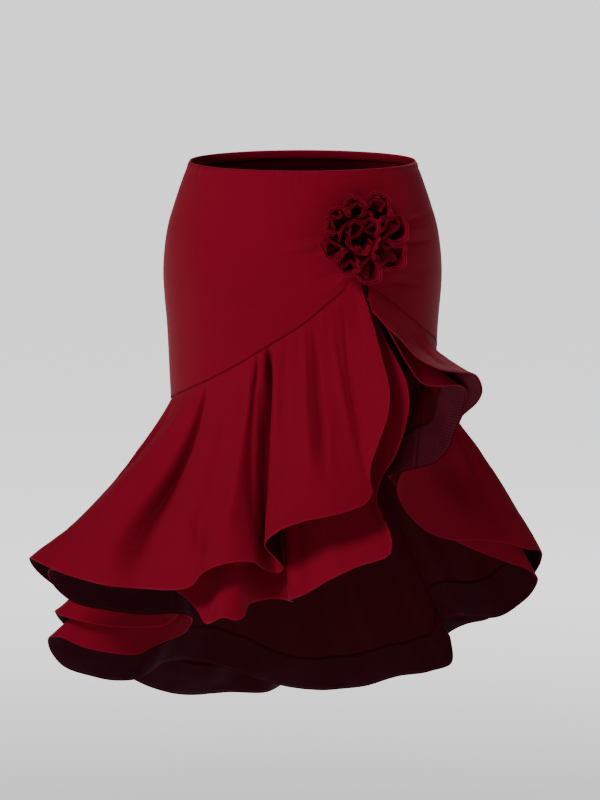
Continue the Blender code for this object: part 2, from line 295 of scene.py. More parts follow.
hairLook = {
    "slant": 38,  # of the threads, in degrees
    "threadScale": 105.0,
    "threadWaver": 0.35,
    "threadSharpness": 2.0,
    "unevenPerMetre": 60.0,
    "unevenShare": 0.6,
    "threadShows": 0.45,
    # where the braid is painted in shade, with the crepe's dark wine, round the back and beside the opening,
    # in m
    "behind": (("X", -0.18, -0.11), ("Y", 0.10, 0.16)),
    "beside": 0.06,
    "shade": 0.88,
    "bump": 0.5,
    "bumpDepth": 0.3 * mm,
    "roughness": 0.4,
    "specular": 0.05,
    "specularTint": (1.0, 0.25, 0.4, 1.0),
}

# where the wrong side turns to the light, at the right of the opening: where it is still
# dark and where it is lit along each axis, in m
openSide = (("X", 0.05, 0.10), ("Y", 0.11, 0.06), ("Z", -0.47, -0.42))


def openPlace(nodes):
    # 1 where the wrong side turns to the light and 0 elsewhere
    place = nodes.axes(nodes.objectPlace())
    across, back, up = (nodes.ramp(place[axis], dark, lit) for axis, dark, lit in openSide)
    return nodes.math("MULTIPLY", nodes.math("MULTIPLY", across, back), up)


def crepeMaterial(name, edgeMap=None, edgeWidth=None, stitchAt=None, dye="crepe", paintedShadeMap=None):
    # a matt wine crepe; edgeMap's second number is the distance from the turned edge
    nodes = Nodes(name)
    patches = nodes.noise(nodes.objectPlace(), crepeLook["patchesPerMetre"], 3.0, 0.55)
    grain = nodes.noise(nodes.uv("cloth"), crepeLook["grainPerMetre"], 2.0, 0.6)
    shade = nodes.math("MULTIPLY", patches, crepeLook["patchShare"])
    shade = nodes.math("ADD", shade, nodes.math("MULTIPLY", grain, crepeLook["grainShare"]))
    colour = nodes.mix(shade, dyesAndPaintedLight[dye], dyesAndPaintedLight[dye + "Deep"])
    # painted light: the wrong side lit where it turns to the light at the opening
    if dye == "wrongSide":
        colour = nodes.mix(openPlace(nodes), colour, dyesAndPaintedLight["wrongSideLit"])
    height = grain
    # painted shade in folds and hollows, by the map's first number
    if paintedShadeMap:
        depth = nodes.axes(nodes.uv(paintedShadeMap))["X"]
        colour = nodes.mix(nodes.math("MULTIPLY", depth, crepeLook["foldShade"]), colour, dyesAndPaintedLight["fold"])
    if edgeMap:
        along, distance, _ = nodes.axes(nodes.uv(edgeMap)).values()
        edgeWidth = edgeWidth or crepeLook["edgeWidth"]
        start, end = edgeWidth * crepeLook["edgeFrom"], edgeWidth * crepeLook["edgeTo"]
        # painted highlight along the turned edge
        near = nodes.ramp(distance, start, end, crepeLook["edgeHighlightShows"])
        colour = nodes.mix(near, colour, dyesAndPaintedLight["crepeHighlightAndThread"])
        if stitchAt:
            off = nodes.math("ABSOLUTE", nodes.math("SUBTRACT", distance, stitchAt))
            line = nodes.math("LESS_THAN", off, crepeLook["stitchHalfWidth"])
            step = nodes.math("FRACT", nodes.math("MULTIPLY", along, crepeLook["stitchesPerMetre"]))
            dash = nodes.math("MULTIPLY", line, nodes.math("LESS_THAN", step, crepeLook["stitchLength"]))
            shows = nodes.math("MULTIPLY", dash, crepeLook["stitchShows"])
            colour = nodes.mix(shows, colour, dyesAndPaintedLight["crepeHighlightAndThread"])
            height = nodes.math("ADD", height, nodes.math("MULTIPLY", dash, crepeLook["stitchRaised"]))
    nodes.dress(colour, height, crepeLook)
    rough = nodes.math("MULTIPLY", grain, crepeLook["roughnessGrain"])
    nodes.join(nodes.math("ADD", rough, crepeLook["roughness"]), nodes.shader.inputs["Roughness"])
    nodes.shader.inputs["Sheen Weight"].default_value = crepeLook["sheen"]
    nodes.shader.inputs["Sheen Roughness"].default_value = crepeLook["sheenRoughness"]
    nodes.shader.inputs["Sheen Tint"].default_value = crepeLook["sheenTint"]
    return nodes.material


def hairMaterial(name):
    # crossing threads of stiff hair, woven on the slant, with the crepe dark between them
    nodes = Nodes(name)
    hem = nodes.uv("hem")
    threads = []
    for slant in (hairLook["slant"], -hairLook["slant"]):
        turned = nodes.add("ShaderNodeMapping")
        turned.inputs["Rotation"].default_value = (0, 0, math.radians(slant))
        nodes.join(hem, turned.inputs["Vector"])
        scale, waver = hairLook["threadScale"], hairLook["threadWaver"]
        wave = nodes.add("ShaderNodeTexWave", Scale=scale, Distortion=waver, Detail=1.0)
        nodes.join(turned.outputs["Vector"], wave.inputs["Vector"])
        threads.append(nodes.math("POWER", wave.outputs["Fac"], hairLook["threadSharpness"]))
    mesh = nodes.math("MAXIMUM", *threads)
    uneven = nodes.noise(hem, hairLook["unevenPerMetre"], 2.0)
    uneven = nodes.math("MULTIPLY", uneven, hairLook["unevenShare"])
    amount = nodes.math("MULTIPLY", mesh, nodes.math("ADD", uneven, hairLook["threadShows"]))
    # painted light: lit copies of the braid's colours where it turns to the light at the opening
    lit = openPlace(nodes)
    gap = nodes.mix(lit, dyesAndPaintedLight["hairGap"], dyesAndPaintedLight["hairGapLit"])
    thread = nodes.mix(lit, dyesAndPaintedLight["hair"], dyesAndPaintedLight["hairLit"])
    colour = nodes.mix(amount, gap, thread)
    # painted shade on the braid, round the back and beside the opening, where no light reaches
    place = nodes.axes(nodes.objectPlace())
    shades = (nodes.ramp(place[axis], start, end) for axis, start, end in hairLook["behind"])
    behind = nodes.math("MULTIPLY", *shades)
    beside = nodes.math("GREATER_THAN", place["X"], hairLook["beside"])
    beside = nodes.math("SUBTRACT", beside, lit)
    shaded = nodes.math("MULTIPLY", nodes.math("MAXIMUM", behind, beside), hairLook["shade"])
    colour = nodes.mix(shaded, colour, dyesAndPaintedLight["hairShade"])
    nodes.dress(colour, mesh, hairLook)
    nodes.shader.inputs["Roughness"].default_value = hairLook["roughness"]
    return nodes.material


flounceCrepe = crepeMaterial("flounceCrepe", edgeMap="hem", stitchAt=50 * mm, paintedShadeMap="fold")
yokeCrepe = crepeMaterial("yokeCrepe", edgeMap="waist", edgeWidth=0.8 * mm, stitchAt=9 * mm, paintedShadeMap="fold")
# the wrong side, darker partly as painted shade inside the skirt
wrongSide = crepeMaterial("wrongSide", dye="wrongSide")
rosetteCrepe = crepeMaterial("rosetteCrepe", edgeMap="edge", edgeWidth=1.5 * mm, paintedShadeMap="fold")
braidHair = hairMaterial("braidHair")
print("materials made")


# how deep a fold is where its shade starts, and how much deeper where it is full, in mm
foldShadow = {"starts": 1.5, "grows": 11}


def foldShades(heights):
    # how deep each point lies in a fold, from 0 to 1: the amount of painted shade there
    shades = []
    for column in heights:
        deep = [max(-height / mm - foldShadow["starts"], 0.0) / foldShadow["grows"] for height in column]
        shades.append([(min(depth, 1.0), 0.0) for depth in deep])
    return shades


def clothGrid(columns, heights=None, maps=None):
    # a sheet of cloth through a grid of points; heights move it along its own normal
    across, down = len(columns) - 1, len(columns[0]) - 1
    work = bmesh.new()
    bmesh.ops.create_grid(work, x_segments=across, y_segments=down, size=1)
    work.verts.ensure_lookup_table()
    for vert in work.verts:
        j, i = divmod(vert.index, across + 1)
        vert.co = columns[i][j]
    work.normal_update()
    if heights:
        moves = []
        for vert in work.verts:
            j, i = divmod(vert.index, across + 1)
            moves.append(vert.normal * heights[i][j])
        for vert, move in zip(work.verts, moves):
            vert.co += move
        work.normal_update()
    for name, values in (maps or {}).items():
        layer = work.loops.layers.uv.new(name)
        for face in work.faces:
            for loop in face.loops:
                j, i = divmod(loop.vert.index, across + 1)
                loop[layer].uv = values[i][j]
    return work


def gridPoints(work, across):
    # the points and normals of a sheet, by column
    work.verts.ensure_lookup_table()
    down = len(work.verts) // across
    points = [[work.verts[j * across + i].co.copy() for j in range(down)] for i in range(across)]
    normals = [[work.verts[j * across + i].normal.copy() for j in range(down)] for i in range(across)]
    return points, normals


def measureMap(columns):
    # distances along and down the cloth, in metres, for a weave that keeps its size
    rows = []
    for j in range(len(columns[0])):
        length, row = 0.0, [0.0]
        for before, after in zip(columns, columns[1:]):
            length += (after[j] - before[j]).length
            row.append(length)
        middle = row[len(row) // 2]
        rows.append([value - middle for value in row])
    downs = []
    for column in columns:
        length, down = 0.0, [0.0]
        for before, after in zip(column, column[1:]):
            length += (after - before).length
            down.append(length)
        downs.append(down)
    return [[(rows[j][i], downs[i][j]) for j in range(len(columns[0]))] for i in range(len(columns))]


def rowLength(columns, row):
    return sum((after[row] - before[row]).length for before, after in zip(columns, columns[1:]))


def clothPiece(name, work, wall, material, node, thickRows=None, inner=None):
    mesh = bpy.data.meshes.new(name)
    area = sum(face.calc_area() for face in work.faces)
    work.to_mesh(mesh)
    work.free()
    mesh.shade_smooth()
    mesh.materials.append(material)
    if inner:
        mesh.materials.append(inner)
    piece = bpy.data.objects.new(name, mesh)
    bpy.context.scene.collection.objects.link(piece)
    shell = piece.modifiers.new("wall", "SOLIDIFY")
    shell.thickness = wall
    shell.offset = -1.0
    if inner:
        shell.material_offset = 1
    if thickRows:
        across, rows, thin = thickRows
        group = piece.vertex_groups.new(name="wall")
        for vert in mesh.vertices:
            group.add([vert.index], 1.0 if vert.index // across >= rows else thin, "REPLACE")
        shell.vertex_group = "wall"
    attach(piece, "root")
    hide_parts(node)
    return piece, area


# where the rosette sits on the yoke, by angle and height, how far from the middle of the
# figure the yoke is there, and how far the rosette's shade reaches and fades, in mm
rosettePlace = {"angle": 32.5, "z": -72, "yokeAround": 125, "shadeReach": 43, "shadeFade": 12}

yoke = {
    "wall": 0.8 * mm,
    "stepDegrees": 1.25,
    "rowsDown": 72,
    "turning": 10,  # the waist edge turned in over its elastic, in mm
    "turningApart": 2.0,
    "turnedRows": ((-6, 1), (-2.2, 1), (-0.7, 0.85), (-0.1, 0.5)),  # height in mm, share of that gap
    "dentReach": 2,  # half lengths
    "dentSlant": 5,  # mm down for each half length
    "edgeDrop": 0.4,  # the outer rows start this far below the waist edge
    "casingPuff": 0.5,
    "casingRow": 9,
    "casingStitch": (0.45, 1.4),  # depth and half width in mm
    # fine puckers: height in mm, waves by degree, seed, how far they fade from the edge and start
    "waistPuckers": (0.55, 0.42, 3.1, 16, 3),
    "seamPuckers": (0.6, 0.30, 8.7, 12, 7),
    "seamPuff": (0.25, 3),
    "edgePerDegree": 2.4 * mm,  # length of the waist's map by angle
    "turnedMap": 60 * mm,  # where the turning lies on that map, clear of its stitches
    "measuredRows": (7, 30),  # the rows whose height and length give the cut
    "allowances": (1.06, 1.1),  # the cut's width and length over the worn ones
    # pulls in the cloth round the rosette, as seen from the front: from, to, width and depth in mm
    "pulls": (
        (20, -74, -48, -72, 3.2, -2.0),
        (20, -90, -40, -94, 3.0, -2.2),
        (18, -82, -30, -83, 3.6, 1.5),
        (112, -60, 150, -52, 2.6, -2.0),
        (114, -82, 152, -82, 2.6, -1.8),
        (113, -71, 148, -67, 3.2, 1.3),
        (96, -124, 140, -132, 2.4, -2.2),
        (96, -115, 132, -118, 3.0, 1.0),
        (58, -118, 32, -146, 3.0, -2.2),
        (50, -114, 16, -138, 3.6, 1.5),
        (44, -110, 4, -122, 3.0, -1.5),
        (64, -34, 60, -8, 3.4, -1.2),
        (84, -34, 94, -10, 3.0, -1.2),
    ),
    # long soft dents that a stretched yoke has round the figure: angle, z, half length in
    # degrees, width, depth
    "dents": (
        (-38, -150, 24, 9, -0.9),
        (-62, -205, 20, 10, -0.8),
        (-10, -128, 18, 8, -0.6),
        (62, -116, 12, 6, -0.8),
        (-75, -60, 18, 10, -0.6),
        (120, -150, 24, 9, -0.9),
        (165, -110, 26, 12, -1.0),
        (190, -190, 24, 9, -1.0),
        (222, -150, 22, 8, -0.8),
        (250, -90, 18, 9, -0.7),
        (150, -215, 20, 8, -0.8),
    ),
}


def pullHeight(pulls, x, z):
    height = 0.0
    for x0, z0, x1, z1, width, depth in pulls:
        alongX, alongZ = x1 - x0, z1 - z0
        length = math.hypot(alongX, alongZ)
        t = ((x - x0) * alongX + (z - z0) * alongZ) / (length * length)
        if -0.1 < t < 1.1:
            away = abs((x - x0) * alongZ - (z - z0) * alongX) / length
            fade = rise((t + 0.1) / 0.25) * (1 - rise(t))
            height += depth * bell(away / width) * fade
    return height


def puckers(values, angle, fromEdge, level=0.0):
    # fine gathers beside a sewn edge
    height, byDegree, seed, fade, start = values
    wave = noise.noise(Vector((angle * byDegree, seed, level)))
    return height * wave * bell(fromEdge / fade) * rise(fromEdge / start)


def yokeHeight(angle, z, top, low):
    point = bodyPoint(angle, z) / mm
    height = 0.0
    if point.y < 0:
        height += pullHeight(yoke["pulls"], point.x, z)
    for middle, dentZ, half, width, depth in yoke["dents"]:
        turn = (angle - middle) / half
        if abs(turn) < yoke["dentReach"]:
            height += depth * bell(turn) * bell((z - dentZ - yoke["dentSlant"] * turn) / width)
    fromTop, fromSeam = top - z, z - low
    row = yoke["casingRow"]
    height += yoke["casingPuff"] * math.sin(math.pi * min(fromTop / row, 1.0))
    depth, width = yoke["casingStitch"]
    height -= depth * bell((fromTop - row) / width)
    height += puckers(yoke["waistPuckers"], angle, fromTop)
    height += puckers(yoke["seamPuckers"], angle, fromSeam)
    puff, width = yoke["seamPuff"]
    height += puff * bell(fromSeam / width)
    return height * mm


def rosetteShade(angle, z):
    # how deep in the rosette's shade a point of the yoke lies
    across = math.radians(angle - rosettePlace["angle"]) * rosettePlace["yokeAround"]
    away = math.hypot(across, z - rosettePlace["z"])
    return rise((rosettePlace["shadeReach"] - away) / rosettePlace["shadeFade"])


def makeYoke(name, first, last):
    point = hipSeam["pointAngle"]
    stops = [last, point, first] if first < point < last else [last, first]
    angles = [stops[0]]
    for start, end in zip(stops, stops[1:]):
        count = round((start - end) / yoke["stepDegrees"])
        angles += [start + (end - start) * (step + 1) / count for step in range(count)]
    columns, heights, waist, shades = [], [], [], []
    down = yoke["rowsDown"]
    turning, apart = yoke["turning"], yoke["turningApart"]
    for angle in angles:
        ahead = math.cos(math.radians(angle))
        top = (body["backRise"] - body["frontDip"]) / 2 - (body["backRise"] + body["frontDip"]) / 2 * ahead
        low = seamHeight(angle if angle <= point else angle - 360)
        # the turning comes first, up the inside and over the edge
        inner = [(-turning, apart)] + [(z, apart * share) for z, share in yoke["turnedRows"]]
        column = [bodyPoint(angle, top + z) - bodyNormal(angle, top + z) * depth * mm for z, depth in inner]
        height = [0.0] * len(inner)
        along = angle * yoke["edgePerDegree"]
        edge = [(along, yoke["turnedMap"] - z * mm) for z, _ in inner[:2]]
        edge += [(along, 0.0) for _ in inner[2:]]
        shade = [(0.0, 0.0) for _ in inner]
        for j in range(down + 1):
            z = top - yoke["edgeDrop"] + (low - top + yoke["edgeDrop"]) * j / down
            column.append(bodyPoint(angle, z))
            height.append(yokeHeight(angle, z, top, low))
            edge.append((along, (top - z) * mm))
            shade.append((rosetteShade(angle, z), 0.0))
        columns.append(column)
        heights.append(height)
        waist.append(edge)
        shades.append(shade)
    maps = {"cloth": measureMap(columns), "waist": waist, "fold": shades}
    work = clothGrid(columns, heights, maps)
    piece, area = clothPiece(name + "Cloth", work, yoke["wall"], yokeCrepe, name, inner=wrongSide)
    return piece


makeYoke("yoke_front", -90, 90)
makeYoke("yoke_back", 90, 270)
print("yoke made")

flounce = {
    "wall": 1.3 * mm,
    "thin": 0.6,  # of the wall, above the turned hem
    "under": 2.1 * mm,  # how far inside the top layer the under layer is sewn
    "underSinks": 5,  # how much further inside its falls lean below the seam
    # the shares of a fall over which it leaves the seam and comes to the hem, and its flare
    "dropShare": 0.36,
    "hemShare": 0.3,
    "hemFlare": 2.0,
    # by seam angle: 0 follows the figure first and flares at the hem, 1 falls straight
    "straightness": (
        (34.5, 0.1),
        (0, 0.2),
        (-40, 0.4),
        (-70, 0.7),
        (-86, 0.7),
        (-110, 0.55),
        (-150, 0.45),
        (-200, 0.5),
        (-222, 1.0),
        (-236, 1.25),
        (-247, 1.2),
        (-256, 0.9),
        (-266, 0.45),
        (-290, 0.1),
        (-325.5, 0.1),
    ),
    "braidWidth": 50 * mm,
    "braidLargestShare": 0.42,  # of a short fall
    "braidStartsAt": 40 * mm,  # from the opening's edge
    "sideAngles": (-97, -270),  # where the layers are cut into three, by seam angle
    "columnApart": 4.6,  # mm between the columns of points, along the hem
    "rowsAbove": 26,  # above the braid
    "rowsInBraid": 10,
    "hemRows": (4.2, 3.2, 2.2, 1.2, 0.4, 0.0),  # mm from the hem, over its turned edge
    "turnedShare": 0.3,  # of a narrow braid, at most
    # how the under layer keeps inside the top one: the gap, how near it looks for the top
    # layer, how far beside it the push fades, and how often the push is softened
    "apart": 2.1 * mm,
    "reach": 18 * mm,
    "fade": 25 * mm,
    "smoothing": 2,
    "seamDrop": 0.3,  # the falls start this far below the seam, in mm
    "tuckedUnder": 6,  # and their first row lies this far above it, inside the yoke
    "tuckShare": 0.55,
    "fallSteps": 60,
    "creaseReach": 2.6,  # half widths from a fold's middle to where it ends
    "foldsGrow": 11,  # from the seam, in mm
    "seamSink": (0.9, 4.5),  # depth and width in mm
    "seamPuckers": (0.8, 0.36, 1.7, 22, 9),
    # ripples: height in mm, waves by metre, seed, share of the fall where they are full
    "ripples": ((1.1, 26, 4.2, 0.5), (0.35, 80, 0, 0.2)),
    "braidFade": 90 * mm,  # falls shorter than this show their braid less
    "braidStitch": (0.3, 2.5 * mm),
    "braidWaves": (0.5, 28),  # height in mm, waves by metre
    "hemRoll": (0.2, 2, 1.6),  # height, distance from the hem and width in mm
    "braidWall": 0.5 * mm,
    "braidGap": 0.25 * mm,
    # where the cloth fills less of its rectangle than this, the width stated is cut down to it
    "leastCut": 0.32,
}

topLayer = {
    "name": "top",
    "inside": 0.0,
    # the hem, clockwise from the opening: seam angle, x, y, z in mm
    "hem": (
        (34, 69, -105, -147),
        (33, 75, -111, -166),
        (31.5, 86, -120, -203),
        (30, 93, -127, -235),
        (28.5, 92, -133, -258),
        (26, 81, -142, -290),
        (24, 73, -149, -314),
        (22, 73, -156, -331),
        (19.5, 75, -161, -340),
        (17, 68, -170, -350),
        (13.5, 53, -177, -356),
        (6, 24, -182, -363),
        (-2, -3, -182, -369),
        (-10, -24, -178, -378),
        (-18, -41, -166, -394),
        (-20, -38, -150, -405),
        (-22, -27, -138, -419),
        (-24, -22, -127, -430),
        (-25.5, -27, -120, -436),
        (-27, -36, -126, -432),
        (-28.5, -43, -138, -426),
        (-30, -51, -148, -419),
        (-33, -69, -154, -417),
        (-36.5, -91, -155, -421),
        (-39.5, -107, -152, -429),
        (-43, -122, -146, -446),
        (-47, -143, -140, -450),
        (-53, -175, -128, -450),
        (-60, -219, -110, -449),
        (-67.5, -261, -86, -442),
        (-73, -287, -64, -435),
        (-78, -300, -42, -433),
        (-82, -297, -24, -446),
        (-86, -273, -10, -471),
        (-90, -235, 4, -491),
        (-94, -192, 15, -500),
        (-98, -156, 24, -503),
        (-102, -139, 36, -510),
        (-106, -150, 48, -525),
        (-110, -182, 56, -531),
        (-114.5, -227, 61, -529),
        (-118, -259, 66, -523),
        (-122, -276, 78, -520),
        (-126, -280, 98, -520),
        (-130, -278, 122, -532),
        (-134, -260, 144, -557),
        (-138, -231, 164, -586),
        (-142.5, -197, 182, -615),
        (-147.5, -163, 200, -634),
        (-153, -128, 220, -643),
        (-159, -89, 232, -642),
        (-166, -45, 234, -643),
        (-173, -8, 268, -634),
        (-177, 17, 262, -630),
        (-180, 34, 238, -626),
        (-183, 56, 236, -622),
        (-187, 78, 260, -618),
        (-190, 100, 258, -612),
        (-194, 118, 224, -606),
        (-198, 140, 222, -600),
        (-202, 152, 234, -590),
        (-206, 169, 214, -569),
        (-210, 190, 190, -553),
        (-214, 214, 180, -545),
        (-218, 236, 178, -528),
        (-223, 250, 154, -512),
        (-228, 259, 126, -490),
        (-233, 270, 104, -463),
        (-238, 268, 84, -448),
        (-242, 252, 69, -444),
        (-246, 230, 65, -437),
        (-250, 199, 65, -433),
        (-254, 167, 65, -433),
        (-257, 143, 64, -425),
        (-259.5, 121, 60, -406),
        (-262, 108, 54, -385),
        (-264.5, 106, 43, -367),
        (-267, 114, 30, -348),
        (-269.5, 132, 22, -337),
        (-272, 149, 19, -322),
        (-275, 163, 12, -300),
        (-278, 177, 4, -282),
        (-281.5, 192, -7, -266),
        (-285.5, 197, -28, -250),
        (-290, 187, -53, -227),
        (-294.5, 172, -73, -223),
        (-299, 154, -88, -219),
        (-304, 137, -100, -211),
        (-309, 121, -109, -199),
        (-313.5, 108, -116, -183),
        (-318.5, 89, -117, -165),
        (-322.5, 75, -112, -151),
    ),
    # the large folds of the front, from the top down: share of the way to the hem, seam
    # angle, half width in degrees, depth in mm
    "folds": (
        ((0, -55, 0.8, 0), (0.08, -55, 0.9, -4), (0.25, -55.6, 1.5, -9.5), (0.5, -57.6, 2.3, -13.5),
         (0.7, -59, 3.0, -11.5), (0.88, -57.8, 3.0, -6), (1, -56, 2.8, -1.5)),
        ((0.04, -63, 2.6, 0), (0.2, -65.5, 3.2, 3.5), (0.5, -69, 3.8, 5.5), (0.8, -69, 3.4, 3),
         (1, -69, 3, 0)),
        ((0.04, -72, 1.8, 0), (0.2, -74.5, 2.0, -4), (0.5, -77.5, 2.2, -6), (0.75, -78, 2.2, -4),
         (0.95, -78, 2, 0)),
        ((0.1, -47, 3.6, 0), (0.5, -48, 4.6, 4), (0.8, -48, 4, 2), (1, -48, 4, 0)),
        ((0.6, -46, 1.3, 0), (0.72, -45, 1.5, -2.6), (0.89, -40.8, 1.6, -2.4), (1, -40, 1.5, 0)),
        ((0.03, -31.5, 1.0, 0), (0.16, -31.9, 1.2, 2.2), (0.4, -34, 1.9, 4.5), (0.69, -35.4, 2.2, 4.5),
         (0.92, -36, 2, 0)),
        ((0, -27.6, 0.7, 0), (0.06, -28.1, 0.8, -3.5), (0.19, -29.6, 1.0, -3.5), (0.42, -30.8, 1.2, -3),
         (0.7, -30.4, 1.4, -3.2), (0.9, -30, 1.3, 0)),
        ((0, -21.5, 1.0, -2), (0.04, -21.5, 1.4, -8), (0.2, -22, 2.1, -13.5), (0.35, -23, 2.2, -15.5),
         (0.55, -22.8, 1.9, -13), (0.75, -22.4, 1.5, -6), (0.9, -22.5, 1.2, 0)),
        ((0.02, 5.5, 0.7, 0), (0.12, 7, 0.9, -2.6), (0.4, 7.6, 1.3, -4.6), (0.58, 8, 1.4, -4.6),
         (0.75, 8, 1.4, -1.5), (0.85, 8, 1.4, 0)),
        ((0, 0.5, 1.5, 0), (0.15, 1.3, 2.0, 3), (0.4, 1.6, 2.4, 5), (0.62, 2.4, 2.2, 5), (0.76, 3, 2, 0)),
        ((0.58, 12, 2, 0), (0.69, 12, 2.6, -2.2), (0.8, 12, 2, 0)),
        ((0, -10, 2, 0), (0.2, -11, 2.4, -2), (0.5, -12, 2.8, -2.6), (0.8, -12, 2.6, 0)),
        ((0.1, 17.5, 1.4, 0), (0.35, 18.2, 1.7, 2.2), (0.7, 18.5, 1.8, 1.5), (0.9, 18, 1.8, 0)),
        ((0.1, 24.5, 0.9, 0), (0.35, 24, 1.0, -2), (0.7, 23.5, 1.0, -2), (0.95, 23.5, 1, 0)),
        # the broad hollow under the right crest
        ((0.3, -257, 3, 0), (0.5, -255.5, 3.8, -5.5), (0.67, -253, 4.2, -8), (0.84, -250, 3.4, -3.5),
         (0.97, -248, 3, 0)),
    ),
    # the other creases: seam angle at the top and at the hem, where they start and end
    # between seam (0) and hem (1), half width in degrees, depth in mm
    "creases": (
        (-84, -87, 0.0, 0.9, 2.0, -5.0),
        (-92, -93, 0.05, 0.95, 2.4, 3.5),
        (-101, -100, 0.0, 0.85, 1.6, -6.0),
        (-110, -108, 0.05, 0.9, 2.2, 3.0),
        (-119, -117, 0.0, 0.85, 1.8, -4.5),
        (-128, -126, 0.05, 0.9, 2.4, 4.5),
        (-136, -133, 0.0, 0.9, 1.9, -6.5),
        (-146, -147, 0.1, 1.0, 2.6, 4.0),
        (-155, -157, 0.0, 0.95, 1.9, -7.0),
        (-163, -164, 0.05, 1.0, 2.0, 3.5),
        (-171, -170, 0.0, 0.85, 1.6, -5.0),
        (-177, -176, 0.1, 0.8, 1.8, 4.0),
        (-184, -183, 0.0, 0.85, 1.6, -6.0),
        (-191, -190, 0.1, 0.8, 1.8, 3.5),
        (-198, -197, 0.0, 0.9, 1.6, -5.5),
        (-206, -205, 0.05, 0.9, 2.2, 4.5),
        (-214, -212, 0.0, 0.85, 1.8, -6.5),
        (-223, -223, 0.1, 1.0, 2.4, 4.0),
        (-231, -229, 0.0, 0.9, 1.8, -4.5),
        (-241, -239, 0.05, 0.8, 2.0, 2.5),
        (-248, -246, 0.05, 0.95, 1.8, -4.0),
        (-256, -253, 0.1, 0.95, 1.8, 2.0),
        (-276, -277, 0.0, 0.9, 1.8, -2.0),
        (-289, -291, 0.0, 0.9, 2.2, 1.5),
        (-297, -299, 0.0, 0.9, 1.8, -2.0),
        (-308, -308, 0.0, 0.9, 1.8, 1.0),
    ),
}

